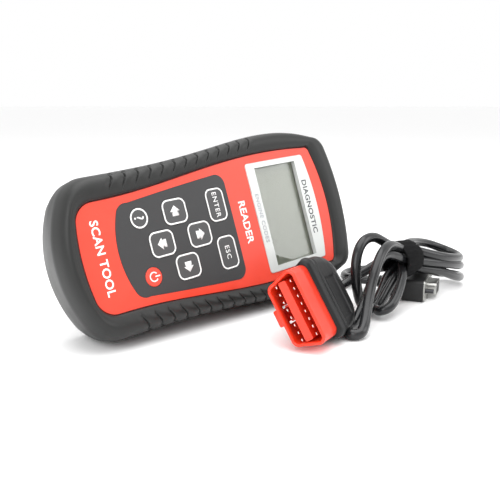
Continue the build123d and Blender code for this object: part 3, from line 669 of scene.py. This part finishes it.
def rounded_section(wide, narrow, up, down, corner, count=13):
    """Trapezoid with round corners: half widths at its upper and lower side, its two heights, a radius."""
    spots = [(wide, up), (-wide, up), (-narrow, -down), (narrow, -down)]
    ring = []
    for i, (x, y) in enumerate(spots):
        centre = np.array([x - corner * np.sign(x), y - corner * np.sign(y)])
        first = [0.0, 0.5 * pi, pi, 1.5 * pi][i]
        angle = first + np.linspace(0.0, 0.5 * pi, count)
        ring.append(centre + corner * np.stack([np.cos(angle), np.sin(angle)], axis=-1))
    return np.concatenate(ring)


def section_stack(rows):
    """Rings for closed_stack from rows of height along the plug and section."""
    rings = []
    for height, *shape in rows:
        ring = rounded_section(*shape)
        rings.append(np.column_stack([ring, np.full(len(ring), height)]))
    return np.stack(rings)


def make_hood(finishes):
    """Red hood: a round-cornered trapezoid wall, its lip rolled over by a half circle, with a key step.

    Two narrow slots are cut through its lower wall. LIP is half the thickness of the wall.
    """
    outer = (19.4, 16.6, 8.7, 8.7, 4.0)
    outside = [(z, *outer) for z in (-19.0, -10.0, -1.6)]
    lip = [(-LIP + LIP * sin(a), 19.4 - LIP + LIP * cos(a), 16.6 - LIP + LIP * cos(a),
            8.7 - LIP + LIP * cos(a), 8.7 - LIP + LIP * cos(a), 3.15 + LIP * cos(a))
           for a in np.linspace(0.0, pi, 11)]
    inside = [(-1.6, 17.7, 14.9, 7.0, 7.0, 2.3), (-10.0, 17.7, 14.9, 7.0, 7.0, 2.3),
              (-16.5, 17.6, 14.8, 6.9, 6.9, 2.3)]
    hood = closed_stack("vehicle_plug_hood", on_plug(section_stack(outside + lip + inside)))
    step = section_stack([(-19.0, 4.3, 4.3, 1.6, 1.9, 0.9), (-0.9, 4.3, 4.3, 1.6, 1.9, 0.9),
                          (-0.25, 4.0, 4.0, 1.3, 1.6, 0.7)])
    step[..., 1] -= 8.9
    key = closed_stack("key_step", on_plug(step))
    combine(hood, key, "UNION")
    for x in (-4.0, 4.0):
        slot_box = box_ring((x - 0.65, -12.5, -15.0), (x + 0.65, -4.8, -5.0))
        combine(hood, closed_stack("slot", on_plug(slot_box)), "DIFFERENCE")
    settle(hood, "root", "red_plug", finishes["red_plug"], "plug_hood")
    return hood


def make_plug_body(finishes):
    """Black moulded grip: sections swelling behind the flange and narrowing to the relief.

    On its upper side an oblong panel is sunk by 0.5 mm with a soft edge, a shallow ridge runs across
    behind the flange, and nine small dots stand in three rows. Each section is read at an even spacing.
    """
    rows = [(-17.0, 19.2, 16.0, 8.4, 8.0, 3.0), (-17.2, 20.4, 17.0, 9.7, 8.7, 3.4),
            (-18.6, 21.3, 17.2, 10.6, 8.9, 3.9), (-20.4, 21.8, 17.3, 11.2, 9.0, 4.5),
            (-22.2, 21.8, 17.3, 11.3, 9.0, 4.6), (-23.0, 21.2, 16.8, 10.8, 8.6, 4.6),
            (-24.2, 21.2, 16.8, 10.9, 8.6, 4.7), (-34.0, 21.0, 16.4, 11.4, 8.5, 5.5),
            (-39.5, 19.9, 15.7, 11.4, 8.4, 5.8), (-44.0, 18.0, 14.2, 11.0, 8.0, 6.0),
            (-47.5, 15.6, 12.6, 10.2, 7.7, 6.0), (-50.0, 13.0, 10.5, 9.0, 7.2, 5.5),
            (-51.8, 10.0, 8.5, 7.9, 6.7, 4.8), (-52.5, 7.5, 6.6, 6.6, 6.0, 4.4)]
    known = np.array(rows)
    fine = np.unique(np.concatenate([known[:, 0], np.linspace(-50.0, -24.2, 70)]))[::-1]
    order = np.argsort(known[:, 0])
    rings = []
    for z in fine:
        shape = [np.interp(z, known[order, 0], known[order, k]) for k in range(1, 6)]
        ring = rounded_section(*shape, count=9)
        loop = np.concatenate([ring, ring[:1]])
        length = distances(loop)
        spots = np.linspace(0.0, length[-1], BODY_POINTS + 1)[:-1]
        even = [np.interp(spots, length, loop[:, k]) for k in (0, 1)]
        rings.append(np.column_stack([*even, np.full(BODY_POINTS, z)]))
    grid = np.stack(rings)
    upper = np.clip((grid[..., 1] - 5.5) / 1.5, 0.0, 1.0)
    x, z = grid[..., 0], grid[..., 2]
    edge = np.maximum(np.abs(x - 3.0) - 11.0, np.abs(z + 33.0) - 5.6)
    panel = np.clip(-edge / 0.7 + 0.5, 0.0, 1.0)
    panel = panel * panel * (3.0 - 2.0 * panel)
    ridge = np.exp(-((z + 25.6) / 0.5) ** 2)
    grid[..., 1] -= upper * (0.5 * panel - 0.3 * ridge * (1.0 - panel))
    body = closed_stack("vehicle_plug_body", on_plug(grid))
    settle(body, "root", "plug_rubber", finishes["plug_rubber"], "plug_body")
    for i in range(9):
        px = -14.5 + 1.9 * (i % 3) + 0.5 * (i // 3)
        pz = -28.0 - 3.4 * (i // 3) - 1.3 * (i % 2)
        angle = np.linspace(0.0, 2 * pi, 11)[:-1]
        rise = np.array([(0.0, 0.55), (0.12, 0.5), (0.2, 0.3), (0.24, 0.05)])
        ring = np.stack([np.column_stack([px + r * np.cos(angle), np.full(10, 10.85 + up),
                                          pz + r * np.sin(angle)]) for up, r in rise])
        dot = closed_stack(f"grip_dot_{i + 1}", on_plug(ring))
        settle(dot, "root", "plug_rubber", finishes["plug_rubber"])
    return body


# ---------------------------------------------------------------- legends
# Heights out of the face: the tops of the keys, and one layer of print
KEY_TOP, INK = 0.35, 0.05
RING_WIDTH = 0.85
KEY_PLACES = {"key_help": (-15.1, -57.0), "key_power": (15.1, -57.0), "key_left": (-14.7, -34.6),
              "key_right": (14.7, -34.6), "key_up": (0.0, -22.3), "key_down": (0.0, -47.0),
              "key_enter": (-13.4, -6.4), "key_esc": (13.4, -6.4)}
ARROW_TURNS = {"key_up": 0.0, "key_left": 0.5 * pi, "key_down": pi, "key_right": -0.5 * pi}


def flat_band(name, line, width, base):
    """Printed line: a closed line given a width to both sides, and a thin closed section."""
    step = np.roll(line, -1, axis=0) - np.roll(line, 1, axis=0)
    side = np.stack([step[:, 1], -step[:, 0]], axis=-1) / np.linalg.norm(step, axis=1, keepdims=True)
    corners = [(-0.5, 0.0), (-0.5, 1.0), (0.5, 1.0), (0.5, 0.0)]
    grid = np.stack([np.column_stack([line + side * width * a, np.full(len(line), base + INK * b)])
                     for a, b in corners])
    band = surface(name, on_face(grid), wrap_u=True, wrap_v=True)
    weld(band)
    return band


def flat_patch(name, line, base):
    """Printed patch: a filled closed line, thin and closed."""
    rings = np.stack([np.column_stack([line, np.full(len(line), base + z)]) for z in (0.0, INK)])
    return closed_stack(name, on_face(rings))


def rounded_square(centre, half, corner, bow=0.35, count=7):
    """Closed line of a square with round corners and slightly bowed sides."""
    (cx, cy), (w, h) = centre, half
    line = []
    for i, (sx, sy) in enumerate([(1, 1), (-1, 1), (-1, -1), (1, -1)]):
        angle = 0.5 * pi * i + np.linspace(0.0, 0.5 * pi, count)
        line.append(np.stack([sx * (w - corner) + corner * np.cos(angle),
                              sy * (h - corner) + corner * np.sin(angle)], axis=-1))
    line = np.concatenate(line)
    nearness = 1.0 - np.abs(line / np.array([w, h])).min(axis=1, keepdims=True)
    line = line * (1.0 + bow / max(w, h) * nearness * 0.5)
    return line + np.array([cx, cy])


def lettering(name, text, centre, size, base, spacing=1.0, bold=0.0):
    """Printed words on the face: a text curve made a mesh, centred and laid on the face."""
    data = bpy.data.curves.new(name, "FONT")
    data.body = text
    data.size = size
    data.extrude = 0.5 * INK
    data.space_character = spacing
    data.offset = bold
    data.align_x, data.align_y = "CENTER", "CENTER"
    data.resolution_u = 3
    holder = bpy.data.objects.new(name, data)
    bpy.context.scene.collection.objects.link(holder)
    mesh = bpy.data.meshes.new_from_object(holder.evaluated_get(bpy.context.evaluated_depsgraph_get()))
    bpy.data.objects.remove(holder)
    points = np.empty(len(mesh.vertices) * 3)
    mesh.vertices.foreach_get("co", points)
    points = points.reshape(-1, 3)
    middle = 0.5 * (points.min(axis=0) + points.max(axis=0))
    points = on_face(points - middle + [centre[0], centre[1], base + 0.5 * INK])
    mesh.vertices.foreach_set("co", points.ravel())
    mesh.update()
    obj = bpy.data.objects.new(name, mesh)
    bpy.context.scene.collection.objects.link(obj)
    weld(obj)
    return obj


def make_legends(finishes):
    """White rings, arrows, icons and letters on the keys; plain words on the case."""
    white = finishes["white_ink"]
    pieces = []
    for key, (x, y) in KEY_PLACES.items():
        circle = np.linspace(0.0, 2 * pi, 65)[:-1]
        if key == "key_help":
            line = np.stack([x + 4.75 * np.cos(circle), y + 4.75 * np.sin(circle)], axis=-1)
            pieces.append((key, flat_band("ring_help", line, RING_WIDTH, KEY_TOP)))
            pieces.append((key, lettering("mark_help", "?", (x, y), 8.2, KEY_TOP)))
        elif key == "key_power":
            arc = radians(125.0) + np.linspace(0.0, radians(290.0), 40)
            outer = np.stack([x + 2.6 * np.cos(arc), y + 2.6 * np.sin(arc)], axis=-1)
            inner = np.stack([x + 1.95 * np.cos(arc), y + 1.95 * np.sin(arc)], axis=-1)
            grid = np.stack([np.column_stack([a, np.full(40, KEY_TOP + z)])
                             for a, z in ((outer, 0.0), (outer, INK), (inner, INK), (inner, 0.0))], axis=1)
            pieces.append((key, closed_stack("mark_power_ring", on_face(grid))))
            bar = rounded_square((x, y + 2.2), (0.34, 1.5), 0.2, 0.0)
            pieces.append((key, flat_patch("mark_power_bar", bar, KEY_TOP)))
        else:
            big = key in ("key_enter", "key_esc")
            half = (8.65, 5.8) if big else (6.15, 7.05)
            ring = rounded_square((x, y), half, 3.2)
            pieces.append((key, flat_band("ring_" + key[4:], ring, RING_WIDTH, KEY_TOP)))
            if big:
                word = lettering("mark_" + key[4:], key[4:].upper(), (x, y), 4.4, KEY_TOP, 1.12)
                pieces.append((key, word))
            else:
                house = np.array([(0.0, 3.1), (3.1, 0.1), (2.1, 0.1), (2.1, -2.4), (-2.1, -2.4), (-2.1, 0.1),
                                  (-3.1, 0.1)])
                turn = ARROW_TURNS[key]
                spin = np.array([[cos(turn), sin(turn)], [-sin(turn), cos(turn)]])
                arrow = flat_patch("arrow_" + key[4:], house @ spin + [x, y], KEY_TOP)
                pieces.append((key, arrow))
    for body, piece in pieces:
        settle(piece, body, "key_plastic", white)
    words = [("words_plate", "SCAN TOOL", (0.0, -82.2), 6.4, 0.0, "white_ink", 1.05),
             ("words_strip", "READER", (0.0, 12.0), 6.8, 0.0, "white_ink", 1.0),
             ("words_frame", "DIAGNOSTIC", (0.0, 65.6), 5.4, 0.5, "dark_ink", 1.05),
             ("words_below", "ENGINE CODES", (0.0, 24.4), 3.8, 0.5, "grey_ink", 1.1)]
    for name, text, centre, size, base, ink, spacing in words:
        slot_name = "red_shell" if base == 0.0 else "silver_frame"
        word = lettering(name, text, centre, size, base, spacing, bold=0.02 * size)
        settle(word, "root", slot_name, finishes[ink])


# ---------------------------------------------------------------- everything
def dress_frame(finishes):
    """Gives each CAD node the finish of its slot."""
    special = {"key_power": "power_key"}
    for part in frame["record"]["subparts"]:
        name = part["node"]
        finish = finishes[special.get(name, part["material_slot"])]
        give(frame["nodes"][name], finish)


def main():
    make_camera()
    finishes = make_finishes()
    make_studio()
    dress_frame(finishes)
    cable = make_cable(finishes)
    strap = make_strap(finishes)
    make_boot(finishes)
    hood = make_hood(finishes)
    body = make_plug_body(finishes)
    make_legends(finishes)


main()
